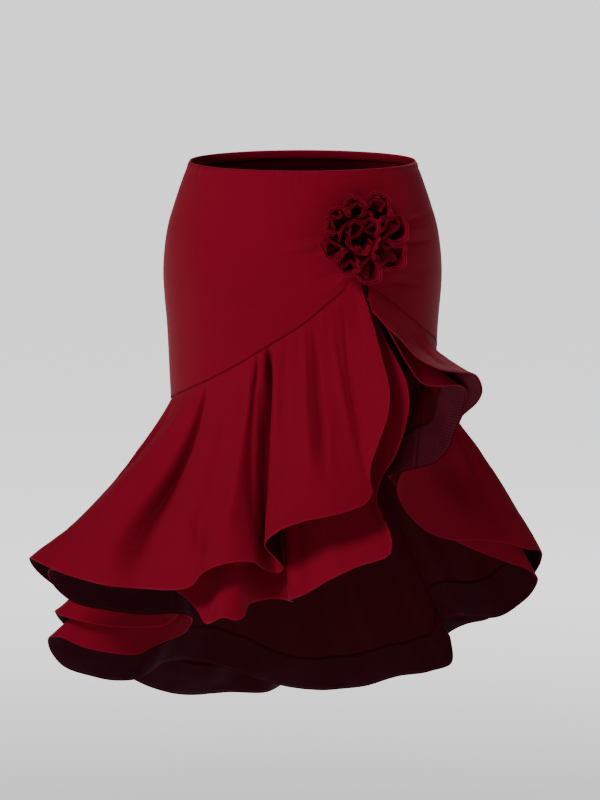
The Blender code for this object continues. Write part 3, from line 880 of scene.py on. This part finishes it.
underLayer = {
    "name": "under",
    "inside": flounce["under"],
    "hem": (
        (34, 69, -94.5, -139),
        (32.7, 77, -96, -160),
        (31.2, 88, -96.5, -183),
        (29.8, 101, -98, -206),
        (28.2, 113, -103, -233),
        (27, 115, -107, -252),
        (25.4, 110, -114, -279),
        (23.8, 98, -121, -311),
        (22, 84, -129, -332),
        (20.5, 80, -134, -349),
        (18.5, 87, -142, -373),
        (16, 96, -150, -397),
        (13.5, 95, -155, -405),
        (8, 59, -160, -421),
        (0, 25, -158, -438),
        (-9, -4, -150, -455),
        (-16, -15, -141, -461),
        (-20, -11, -127, -466),
        (-24, -14, -110, -468),
        (-26.5, -30, -104, -467),
        (-28.5, -46, -110, -468),
        (-30.5, -58, -122, -470),
        (-32, -64, -134, -482),
        (-33.5, -72, -140, -484),
        (-36, -86, -141, -480),
        (-38.5, -99, -138, -486),
        (-40, -105, -131, -489),
        (-42.5, -114, -122, -476),
        (-46, -135, -116, -457),
        (-52, -176, -106, -449),
        (-59.5, -220, -90, -447),
        (-67, -256, -68, -443),
        (-76, -279, -48, -446),
        (-83, -275, -34, -464),
        (-87, -254, -22, -486),
        (-91, -213, -8, -499),
        (-95, -169, 4, -506),
        (-98.5, -136, 14, -507),
        (-102, -125, 30, -515),
        (-105, -134, 49, -537),
        (-108, -153, 60, -547),
        (-111, -170, 66, -556),
        (-113.5, -184, 70, -564),
        (-115.5, -211, 73, -564),
        (-118, -251, 76, -556),
        (-120.5, -276, 80, -546),
        (-123.5, -286, 90, -548),
        (-127.5, -287, 107, -565),
        (-131.5, -273, 124, -588),
        (-135.5, -246, 138, -602),
        (-139.5, -214, 147, -610),
        (-143, -187, 146, -608),
        (-147.5, -158, 152, -590),
        (-153, -118, 165, -592),
        (-159, -81, 180, -606),
        (-167, -32, 206, -627),
        (-176, 20, 212, -635),
        (-185, 67, 210, -631),
        (-193, 112, 203, -617),
        (-200, 147, 195, -610),
        (-206, 172, 186, -598),
        (-210, 172, 178, -576),
        (-213, 163, 168, -547),
        (-217, 180, 158, -537),
        (-222, 203, 146, -538),
        (-226, 225, 132, -533),
        (-230, 246, 119, -517),
        (-234, 261, 107, -499),
        (-238, 265.5, 96, -482),
        (-242, 254, 87, -471),
        (-246, 232, 82, -462),
        (-250, 199, 80, -449),
        (-253.5, 171, 80, -436),
        (-256.5, 145, 79, -418),
        (-259, 123, 74, -393),
        (-261.5, 105, 63, -372),
        (-264.5, 97, 44, -357),
        (-267, 104, 26, -352),
        (-269.5, 122, 13, -344),
        (-272, 146, 11, -337),
        (-275, 161, 6, -321),
        (-277.5, 168, 2, -301),
        (-280, 176, -4, -282),
        (-283, 179, -14, -264),
        (-287, 178, -30, -248),
        (-291.5, 167, -47, -241),
        (-297, 148, -65, -240),
        (-302, 132, -78, -235),
        (-307, 118, -91, -217),
        (-313, 105, -101, -194),
        (-318, 90, -101, -167),
        (-322.5, 77, -97.5, -148),
    ),
    "folds": (
        ((0, -55, 0.8, 0), (0.25, -55.6, 1.5, -7), (0.55, -57.6, 2.4, -9), (0.85, -58, 2.6, -3),
         (1, -58, 2.4, 0)),
        ((0, -21.5, 0.9, 0), (0.1, -21.5, 1.4, -8), (0.35, -23, 2.1, -12), (0.6, -24, 1.8, -7),
         (0.85, -24, 1.6, 0)),
        ((0.4, -9, 2.4, 0), (0.7, -8, 2.8, -3), (0.95, -7, 2.6, -2), (1, -7, 2.6, -1)),
        ((0.4, 1, 2.4, 0), (0.7, 2, 2.8, 3), (0.95, 3, 2.6, 2), (1, 3, 2.6, 1)),
        ((0.3, 16.5, 1.2, 0), (0.6, 15.5, 1.5, -3), (0.9, 14.5, 1.5, -1.5), (1, 14, 1.5, 0)),
    ),
    "creases": (
        (-34, -34, 0.4, 1.0, 1.4, 2.4),
        (-45, -46, 0.2, 1.0, 2.0, -2.6),
        (-66, -66, 0.2, 1.0, 2.6, 3.0),
        (-84, -86, 0.1, 0.95, 2.0, -3.5),
        (-94, -95, 0.1, 0.95, 2.2, 2.5),
        (-108, -109, 0.1, 1.0, 1.6, -4.0),
        (-118, -119, 0.2, 1.0, 1.8, -3.5),
        (-127, -127, 0.2, 1.0, 2.4, 4.0),
        (-138, -139, 0.1, 1.0, 2.0, -4.5),
        (-150, -149, 0.1, 1.0, 2.2, -3.5),
        (-160, -161, 0.2, 1.0, 2.6, 4.0),
        (-170, -171, 0.1, 1.0, 2.4, -4.5),
        (-181, -180, 0.2, 1.0, 2.6, 4.0),
        (-191, -191, 0.1, 1.0, 2.2, -4.5),
        (-203, -202, 0.2, 1.0, 2.4, 3.5),
        (-215, -218, 0.1, 1.0, 2.0, -4.0),
        (-228, -229, 0.2, 1.0, 2.2, 3.0),
        (-248, -249, 0.1, 1.0, 2.0, -2.6),
        (-292, -294, 0.1, 0.9, 2.0, -1.4),
    ),
}


def hemCurve(rows, apart):
    # even points on a smooth curve through the hem's rows: seam angle, place, distance along
    keyed, distance = [], 0.0
    for number, row in enumerate(rows):
        if number:
            distance += math.dist(row[1:], rows[number - 1][1:])
        keyed.append((distance, *row))
    count = int(distance / apart)
    curve = []
    for step in range(count + 1):
        at = distance * step / count
        angle, *place = (smoothValue(keyed, at, column) for column in (1, 2, 3, 4))
        curve.append((angle, Vector(place) * mm, at * mm))
    return curve


def fallCurve(angle, hem, inside):
    # the cloth's line from the seam to the hem, as fine points and their distances
    height = seamHeight(angle) - flounce["seamDrop"]
    outward = bodyNormal(angle, height)
    start = bodyPoint(angle, height) - outward * inside
    down = (bodyPoint(angle, height - 8) - bodyPoint(angle, height)).normalized()
    depth = (hem - start).length
    straight = smoothValue(flounce["straightness"], angle, 1)
    leaving = down.lerp((hem - start) / depth, straight)
    second = start + leaving * depth * flounce["dropShare"] - outward * inside * flounce["underSinks"]
    flare = Vector((hem.x - second.x, hem.y - second.y, 0)) * flounce["hemFlare"] * (1 - straight)
    direction = ((hem - second).normalized() + flare).normalized()
    third = hem - direction * depth * flounce["hemShare"]
    fine, along = [], [0.0]
    steps = flounce["fallSteps"]
    for step in range(steps + 1):
        t = step / steps
        s = 1 - t
        fine.append(start * s**3 + second * (3 * s * s * t) + third * (3 * s * t * t) + hem * t**3)
        if step:
            along.append(along[-1] + (fine[-1] - fine[-2]).length)
    return fine, along


def fallColumn(angle, hem, inside):
    # the column's points and their distances from the hem; the first is tucked under the yoke
    fine, along = fallCurve(angle, hem, inside)
    total = along[-1]
    band = min(flounce["braidWidth"], flounce["braidLargestShare"] * total)
    turned = min(flounce["hemRows"][0] * mm, flounce["turnedShare"] * band)
    above, within = flounce["rowsAbove"], flounce["rowsInBraid"]
    distances = [total - (total - band) * row / above for row in range(above)]
    distances += [band - (band - turned) * row / within for row in range(within)]
    distances += [turned * row / flounce["hemRows"][0] for row in flounce["hemRows"]]
    tucked = flounce["tuckedUnder"]
    top = seamHeight(angle) + tucked
    tuck = flounce["under"] * flounce["tuckShare"] + inside
    column = [bodyPoint(angle, top) - bodyNormal(angle, top) * tuck]
    at = 0
    for distance in distances:
        length = total - distance
        while at < flounce["fallSteps"] - 1 and along[at + 1] < length:
            at += 1
        part = (length - along[at]) / (along[at + 1] - along[at])
        column.append(fine[at].lerp(fine[at + 1], min(part, 1.0)))
    return column, [total + tucked * mm] + distances, total, band


def creaseHeight(layer, angle, share):
    # the folds and creases at a seam angle and a share of the way to the hem, in mm
    height, reach = 0.0, flounce["creaseReach"]
    for rows in layer["folds"]:
        if rows[0][0] < share < rows[-1][0]:
            across = (angle - smoothValue(rows, share, 1)) / smoothValue(rows, share, 2)
            if abs(across) < reach:
                height += smoothValue(rows, share, 3) * bell(across)
    for top, bottom, start, end, width, depth in layer["creases"]:
        across = (angle - top - (bottom - top) * share) / width
        if abs(across) < reach and start < share < end:
            t = (share - start) / (end - start)
            height += depth * bell(across) * math.sin(math.pi * t) ** 0.7
    return height


def flounceHeight(layer, angle, along, distance, total, band, place):
    share = 1 - distance / total
    height = creaseHeight(layer, angle, share)
    # puckers at the seam, a drawn-in stitch row over the braid, and a turned hem
    fromSeam = (total - distance) / mm
    height *= rise(fromSeam / flounce["foldsGrow"])
    sink, width = flounce["seamSink"]
    height -= sink * bell(fromSeam / width)
    height += puckers(flounce["seamPuckers"], angle, fromSeam, share * 2)
    for ripple, byMetre, seed, full in flounce["ripples"]:
        height += ripple * noise.noise(place * byMetre + Vector((seed, 0, 0))) * rise(share / full)
    fade = rise(total / flounce["braidFade"])
    sink, width = flounce["braidStitch"]
    height -= sink * bell((distance - band) / width) * fade
    wave, byMetre = flounce["braidWaves"]
    swell = math.sin(math.pi * min(distance / band, 1.0))
    height += wave * swell * noise.noise(Vector((along * byMetre, 0.3, 0))) * fade
    roll, fromHem, width = flounce["hemRoll"]
    height += roll * bell((distance / mm - fromHem) / width)
    return height * mm


def sectorCut(inner, outer, depth):
    # width and length of the cloth that a ring-shaped flounce is cut from
    turn = min((outer - inner) / depth, math.tau)
    radius = outer / max(turn, 0.05)
    if turn > math.pi:
        return 2 * radius, radius * (1 - math.cos(turn / 2))
    return 2 * radius * math.sin(turn / 2), radius - (radius - depth) * math.cos(turn / 2)


def giveWay(points, cover, apart):
    # moves the cloth inwards wherever it would come through the layer that covers it
    pushes, ways = [], []
    for column in points:
        for point in column:
            near, normal, _, away = cover.find_nearest(point)
            push, way = 0.0, Vector()
            if away < flounce["reach"]:
                out = (point - near).dot(normal)
                beside = (point - near - normal * out).length
                push = max(0.0, out + apart) * (1 - rise(beside / flounce["fade"]))
                way = normal
            pushes.append(push)
            ways.append(way)
    rows, across = len(points[0]), len(points)
    for _ in range(flounce["smoothing"]):
        softer = list(pushes)
        for i in range(across):
            for j in range(rows):
                beside = [(i - 1, j), (i + 1, j), (i, j - 1), (i, j + 1)]
                values = [pushes[a * rows + b] for a, b in beside if 0 <= a < across and 0 <= b < rows]
                softer[i * rows + j] = max(pushes[i * rows + j], sum(values) / len(values))
        pushes = softer
    return [
        [point - ways[i * rows + j] * pushes[i * rows + j] for j, point in enumerate(column)]
        for i, column in enumerate(points)
    ]


def makeFlounces(layer, cover=None):
    curve = hemCurve(layer["hem"], flounce["columnApart"])
    cuts = [min(range(len(curve)), key=lambda n: abs(curve[n][0] - side)) for side in flounce["sideAngles"]]
    spans = {
        "left_front": (0, cuts[0] + 1),
        "back": (cuts[0], cuts[1] + 1),
        "right_front": (cuts[1], len(curve)),
    }
    allColumns, heights, allHem = [], [], []
    for angle, hem, along in curve:
        column, distances, total, band = fallColumn(angle, hem, layer["inside"])
        allColumns.append(column)
        bumps = [
            flounceHeight(layer, angle, along, distance, total, band, point)
            for point, distance in zip(column[1:], distances[1:])
        ]
        heights.append([0.0] + bumps)
        allHem.append([(along, distance) for distance in distances])
    whole = clothGrid(allColumns, heights)
    allPoints, allNormals = gridPoints(whole, len(allColumns))
    if cover:
        whole.free()
        whole = clothGrid(giveWay(allPoints, cover, flounce["apart"]))
        allPoints, allNormals = gridPoints(whole, len(allColumns))
    surface = BVHTree.FromBMesh(whole)
    whole.free()
    for side, (first, last) in spans.items():
        span = curve[first:last]
        wholes = (allColumns, allPoints, allNormals, allHem)
        columns, points, normals, hemMap = (rows[first:last] for rows in wholes)
        across = len(columns)
        maps = {"cloth": measureMap(columns), "hem": hemMap, "fold": foldShades(heights[first:last])}
        work = clothGrid(points, None, maps)
        node = f"{layer['name']}_flounce_{side}"
        turnedFrom = len(columns[0]) - len(flounce["hemRows"])
        piece, area = clothPiece(
            node.replace("_flounce_", "Flounce_"), work, flounce["wall"], flounceCrepe, node,
            (across, turnedFrom, flounce["thin"]), wrongSide,
        )
        inner = rowLength(columns, 1)
        outer = span[-1][2] - span[0][2]
        depth = max(row[1][1] for row in hemMap)
        width, length = sectorCut(inner, outer, depth)
        width = min(width, area / (flounce["leastCut"] * length))
        area = min(area, width * length)

        # the braid lies on the wrong side, from its stitch row to just above the turned edge
        firstRow = 1 + flounce["rowsAbove"]
        lastRow = turnedFrom + 1
        lift = flounce["wall"] * flounce["thin"] + flounce["braidGap"]
        start = 0 if side == "back" else round(flounce["braidStartsAt"] / (flounce["columnApart"] * mm))
        picked = range(across)
        if side == "left_front":
            picked = range(start, across)
        if side == "right_front":
            picked = range(across - start)
        band = [[points[i][j] - normals[i][j] * lift for j in range(firstRow, lastRow + 1)] for i in picked]
        bandMap = [[hemMap[i][j] for j in range(firstRow, lastRow + 1)] for i in picked]
        work = clothGrid(band, None, {"hem": bandMap})
        node = f"{layer['name']}_braid_{side}"
        name = node.replace("_braid_", "Braid_")
        braid, braidArea = clothPiece(name, work, flounce["braidWall"], braidHair, node)
        print(piece.name, "hem", round(outer, 3), "seam", round(inner, 3), "deepest", round(depth, 3))
    return surface


makeFlounces(underLayer, makeFlounces(topLayer))
print("flounces made")

rosette = {
    "wall": 0.6 * mm,
    "turnWall": 0.5 * mm,
    "columns": 44,  # of a large loop
    "rows": 12,
    "lift": 6,  # of a loop's end above the yoke, in mm
    "seat": 0.6,  # of the sewn edge
    "uneven": 2.2,  # in the ribbon's height
    # at the sewn edge and at the free edge: how far loops overhang in degrees, how
    # pointed they are, how far they lean out, how far the two layers are apart in mm
    "overhang": (2, 8),
    "sharpness": (1.2, 0.66),
    "lean": (0.3, 0.5),
    "apart": (0.8, 2.8),
    "waver": 3.0,  # in the loops' reach, in mm, and how it changes from loop to loop
    "waverStep": 2.3,
    "endTurn": 40,  # degrees that the ribbon's ends go past the first and last loop
    "ruffle": 5.0,  # how far the free edge waves from side to side, and how closely
    "ruffleCloseness": 0.21,
    "curlOver": 2.4,  # extra turn of a loop's free edge, in degrees
    "leanShare": 0.55,
    "largeReach": 20,  # loops that reach further are the large ones round the edge
    "ribbonStep": 1.5 * mm,  # of the ribbon's map, a column
    "hollow": 1.9,  # how soon the painted shade darkens the ribbon towards its sewn edge
    "turnStep": 1.3,  # mm between the columns of the last turns
    "turnRows": 7,
    "turnApart": (0.45, 0.8),  # half the gap between their layers, and how it grows
    "turnRuffle": 2.6,
    "turnRuffleCloseness": 0.13,
    # the same painted shade for the last turns
    "turnHollowShade": 1.5,
    "leastWidth": 0.0102,  # a turn's least width, in m, where its area over its length is less
    # the ribbon's last turns, over the middle: x and y from the centre, where it starts
    # and ends above the yoke, in mm
    "turns": (
        ((-25, -6, 10, 20), (-21, 8, 11, 22), (-10, 15, 12, 23), (0, 9, 12, 24), (-6, 0, 12, 23),
         (-14, -7, 12, 22),
         (-8, -17, 11, 22), (4, -20, 11, 21), (12, -12, 12, 22), (7, -4, 12, 24)),
        ((-4, 20, 10, 20), (8, 24, 11, 21), (12, 14, 12, 23), (4, 6, 13, 25), (12, 1, 13, 24),
         (24, 8, 12, 22),
         (36, 17, 10, 20), (43, 10, 9, 18), (33, 3, 10, 20), (22, -5, 11, 21), (27, -15, 10, 19),
         (38, -12, 8, 17)),
        ((33, -27, 9, 17), (22, -31, 10, 18), (15, -22, 11, 21), (4, -27, 11, 21), (-5, -37, 9, 18),
         (-13, -27, 11, 20),
         (-21, -33, 9, 17), (-28, -22, 10, 19), (-21, -14, 11, 21), (-31, -8, 10, 20), (-40, 0, 9, 18),
         (-31, 7, 10, 20),
         (-36, 18, 9, 18), (-23, 21, 10, 20), (-25, 33, 8, 17), (-12, 29, 10, 20), (-3, 35, 9, 18),
         (6, 29, 10, 20),
         (14, 40, 8, 17), (26, 35, 8, 17), (21, 25, 10, 19)),
    ),
    # direction, reach, neck and height of each loop, in mm
    "loops": (
        (-36, 49, 22, 17),
        (8, 46, 22, 19),
        (54, 50, 22, 20),
        (104, 36, 21, 18),
        (148, 41, 21, 21),
        (198, 48, 21, 18),
        (240, 38, 21, 20),
        (281, 48, 21, 18),
        (316, 15, 14, 22),
        (400, 16, 9, 23),
        (485, 15, 8, 22),
        (570, 15, 8, 23),
        (648, 12, 7.5, 22),
    ),
}


def between(pair, share):
    return pair[0] + (pair[1] - pair[0]) * share


def rosettePath(share):
    # direction, distance, how far out on its loop and height, at a share of the way to the free edge
    loops = rosette["loops"]
    path = []
    for number, (direction, reach, neck, height) in enumerate(loops):
        endTurn = rosette["endTurn"]
        before = loops[number - 1] if number else (direction - endTurn, reach, neck, height)
        last = number == len(loops) - 1
        after = (direction + endTurn, reach, neck, height) if last else loops[number + 1]
        start, end = (before[0] + direction) / 2, (direction + after[0]) / 2
        large = reach > rosette["largeReach"]
        count = rosette["columns"] if large else rosette["columns"] // 2
        freeReach = reach + share * rosette["waver"] * math.sin(number * rosette["waverStep"])
        for step in range(count + last):
            part = step / count
            sharpness = between(rosette["sharpness"], share if large else 0)
            out = ((1 - math.cos(math.tau * part)) / 2) ** sharpness
            inner = neck + (after[2] - neck) * part
            nextHeight = height + (after[3] - height) * part
            overhang = between(rosette["overhang"], share if large else 0)
            turned = start + (end - start) * part - overhang * math.sin(math.tau * part)
            turned += share * rosette["curlOver"] * math.sin(math.tau * part * 2 + number)
            path.append((turned, inner + (freeReach - inner) * out, out, nextHeight))
    return path


def flatPlace(turned, distance):
    return math.cos(math.radians(turned)) * distance, math.sin(math.radians(turned)) * distance


def rosetteAxes():
    # the middle of the rosette on the yoke, by angle and height, and its right, up and out
    centre = rosettePlace["angle"], rosettePlace["z"]
    facing = bodyNormal(*centre)
    right = Vector((0, 0, 1)).cross(facing).normalized()
    return centre, right, facing.cross(right), facing


def makeRosette():
    centre, right, up, facing = rosetteAxes()
    rows = rosette["rows"]
    paths = [rosettePath(1 - j / rows) for j in range(rows + 1)]
    flats = [[flatPlace(turned, distance) for turned, distance, *_ in path] for path in paths]
    count = len(paths[0])
    for name, side in (("rosetteRibbon", -1), ("rosetteRibbonLining", 1)):
        columns, edgeMap, shades = [], [], []
        for number in range(count):
            column, edge, shade = [], [], []
            for j in range(rows + 1):
                share = 1 - j / rows
                across, raised = flats[j][number]
                beforeA, beforeB = flats[j][max(number - 2, 0)], flats[j][min(number + 2, count - 1)]
                travel = Vector((beforeB[0] - beforeA[0], beforeB[1] - beforeA[1]))
                travel = travel.normalized() if travel.length else Vector((1, 0))
                sideways = right * travel.y - up * travel.x
                _, _, out, height = paths[j][number]
                angle = centre[0] + math.degrees(across / rosettePlace["yokeAround"])
                z = centre[1] + raised
                lifted = rosette["lift"] * out * out
                base = bodyPoint(angle, z) + bodyNormal(angle, z) * (rosette["seat"] + lifted) * mm
                tall = height - lifted / 2 + rosette["uneven"] * noise.noise(Vector((number * 0.09, 5.0, 0)))
                outward = (right * across + up * raised).normalized()
                leaning = outward * between(rosette["lean"], share) * share * rosette["leanShare"]
                wave = noise.noise(Vector((number * rosette["ruffleCloseness"], share * 0.8, 2.0)))
                curl = rosette["ruffle"] * wave * share * share
                apart = between(rosette["apart"], share * share) / 2
                point = base + (facing * share + leaning) * tall * mm
                column.append(point + sideways * (side * apart + curl) * mm)
                edge.append((number * rosette["ribbonStep"], (1 - share) * tall * mm))
                # painted shade, darker towards the sewn edge
                shade.append((rise((1 - share) * rosette["hollow"]), 0.0))
            columns.append(column)
            edgeMap.append(edge)
            shades.append(shade)
        if side == 1:
            columns, edgeMap, shades = columns[::-1], edgeMap[::-1], shades[::-1]
        work = clothGrid(columns, None, {"cloth": measureMap(columns), "edge": edgeMap, "fold": shades})
        piece, area = clothPiece(name, work, rosette["wall"], rosetteCrepe, "rosette")


def makeTurns():
    # the ribbon's last turns, two layers each
    centre, right, up, facing = rosetteAxes()
    middle = bodyPoint(*centre)
    rows, stepLength = rosette["turnRows"], rosette["turnStep"]
    gap, gapGrows = rosette["turnApart"]
    for turn, table in enumerate(rosette["turns"]):
        keyed, distance = [], 0.0
        for number, row in enumerate(table):
            if number:
                distance += math.dist(row[:2], table[number - 1][:2])
            keyed.append((distance, *row))
        count = int(distance / stepLength)
        places = []
        for step in range(count + 1):
            places.append([smoothValue(keyed, distance * step / count, column) for column in (1, 2, 3, 4)])
        for side in (-1, 1):
            columns, edgeMap, shades = [], [], []
            for step, (x, y, low, high) in enumerate(places):
                before, after = places[max(step - 1, 0)], places[min(step + 1, count)]
                travel = Vector((after[0] - before[0], after[1] - before[1])).normalized()
                sideways = right * travel.y - up * travel.x
                column, edge, shade = [], [], []
                for j in range(rows + 1):
                    share = 1 - j / rows
                    wave = noise.noise(Vector((step * rosette["turnRuffleCloseness"], turn * 7.0, share)))
                    apart = gap + gapGrows * share * share
                    raised = low + (high + 2 * wave - low) * share
                    curl = rosette["turnRuffle"] * wave * share * share
                    point = middle + (right * x + up * y) * mm + facing * raised * mm
                    column.append(point + sideways * (side * apart + curl) * mm)
                    edge.append((step * stepLength * mm, (1 - share) * (high - low) * mm))
                    # painted shade, darker towards the sewn edge
                    shade.append((rise((1 - share) * rosette["turnHollowShade"]), 0.0))
                columns.append(column)
                edgeMap.append(edge)
                shades.append(shade)
            if side == 1:
                columns, edgeMap, shades = columns[::-1], edgeMap[::-1], shades[::-1]
            work = clothGrid(columns, None, {"cloth": measureMap(columns), "edge": edgeMap, "fold": shades})
            name = f"rosetteTurn{turn + 1}" + ("Lining" if side == 1 else "")
            piece, area = clothPiece(name, work, rosette["turnWall"], rosetteCrepe, "rosette")


makeRosette()
makeTurns()
print("rosette made")

studio = {
    "aim": Vector((-2.75, 0, -264.5)) * mm,
    "distance": 5.0,
    "elevation": 8.5,
    "lens": 204.5,
    "floorDrop": 0.36,  # below the lowest hem, as far as a wearer's ankles
    "floorRadius": 40,
    "floorGlow": (0.6, 3.0, 1.25, 0.12),  # from and to metres from the middle, glow there and near
    "middle": (0, 0, -0.3),
    # place, width in m and watts
    "lights": {
        "key": ((-1.9, -2.5, 2.1), 0.9, 165),
        "fill": ((2.6, -2.4, 0.9), 2.0, 14),
        "back": ((0.6, 2.8, 1.6), 2.0, 32),
    },
    "sky": 0.1,
}

cameraData = bpy.data.cameras.new("camera")
cameraData.lens = studio["lens"]
cameraData.sensor_width = 36
cameraData.clip_end = 50
camera = bpy.data.objects.new("camera", cameraData)
rising = math.radians(studio["elevation"])
camera.location = studio["aim"] + Vector((0, -math.cos(rising), math.sin(rising))) * studio["distance"]
camera.rotation_euler = (math.pi / 2 - rising, 0, 0)
bpy.context.scene.collection.objects.link(camera)
bpy.context.scene.camera = camera


def areaLight(name, place, size, power):
    data = bpy.data.lights.new(name, "AREA")
    data.shape = "DISK"
    data.size = size
    data.energy = power
    light = bpy.data.objects.new(name, data)
    light.location = place
    toMiddle = Vector(studio["middle"]) - Vector(place)
    light.rotation_euler = toMiddle.to_track_quat("-Z", "Y").to_euler()
    bpy.context.scene.collection.objects.link(light)


def floorPaper():
    # pale paper that glows away from the skirt, so that its edge never shows
    nodes = Nodes("floorPaper")
    speck = nodes.add("ShaderNodeTexNoise", Scale=3.0, Detail=2.0).outputs["Fac"]
    paper = nodes.mix(nodes.math("MULTIPLY", speck, 0.06), dyesAndPaintedLight["floor"], dyesAndPaintedLight["floorSpeck"])
    nodes.join(paper, nodes.shader.inputs["Base Color"])
    nodes.shader.inputs["Roughness"].default_value = 0.9
    nodes.shader.inputs["Emission Color"].default_value = (1, 1, 1, 1)
    flat = nodes.add("ShaderNodeVectorMath", operation="MULTIPLY")
    nodes.join(nodes.objectPlace(), flat.inputs[0])
    flat.inputs[1].default_value = (1, 1, 0)
    away = nodes.add("ShaderNodeVectorMath", operation="LENGTH")
    nodes.join(flat.outputs["Vector"], away.inputs[0])
    glow = nodes.ramp(away.outputs["Value"], *studio["floorGlow"])
    nodes.join(glow, nodes.shader.inputs["Emission Strength"])
    return nodes.material


def makeFloor():
    work = bmesh.new()
    bmesh.ops.create_circle(work, cap_ends=True, segments=96, radius=studio["floorRadius"])
    bmesh.ops.translate(work, vec=(0, 0, cadBox[0][2] - studio["floorDrop"]), verts=work.verts)
    mesh = bpy.data.meshes.new("floor")
    work.to_mesh(mesh)
    work.free()
    mesh.materials.append(floorPaper())
    floor = bpy.data.objects.new("floor", mesh)
    bpy.context.scene.collection.objects.link(floor)


for name, (place, size, power) in studio["lights"].items():
    areaLight(name, place, size, power)
world = bpy.data.worlds.new("studio")
world.use_nodes = True
world.node_tree.nodes["Background"].inputs["Color"].default_value = (1, 1, 1, 1)
world.node_tree.nodes["Background"].inputs["Strength"].default_value = studio["sky"]
bpy.context.scene.world = world
makeFloor()
print("studio made")
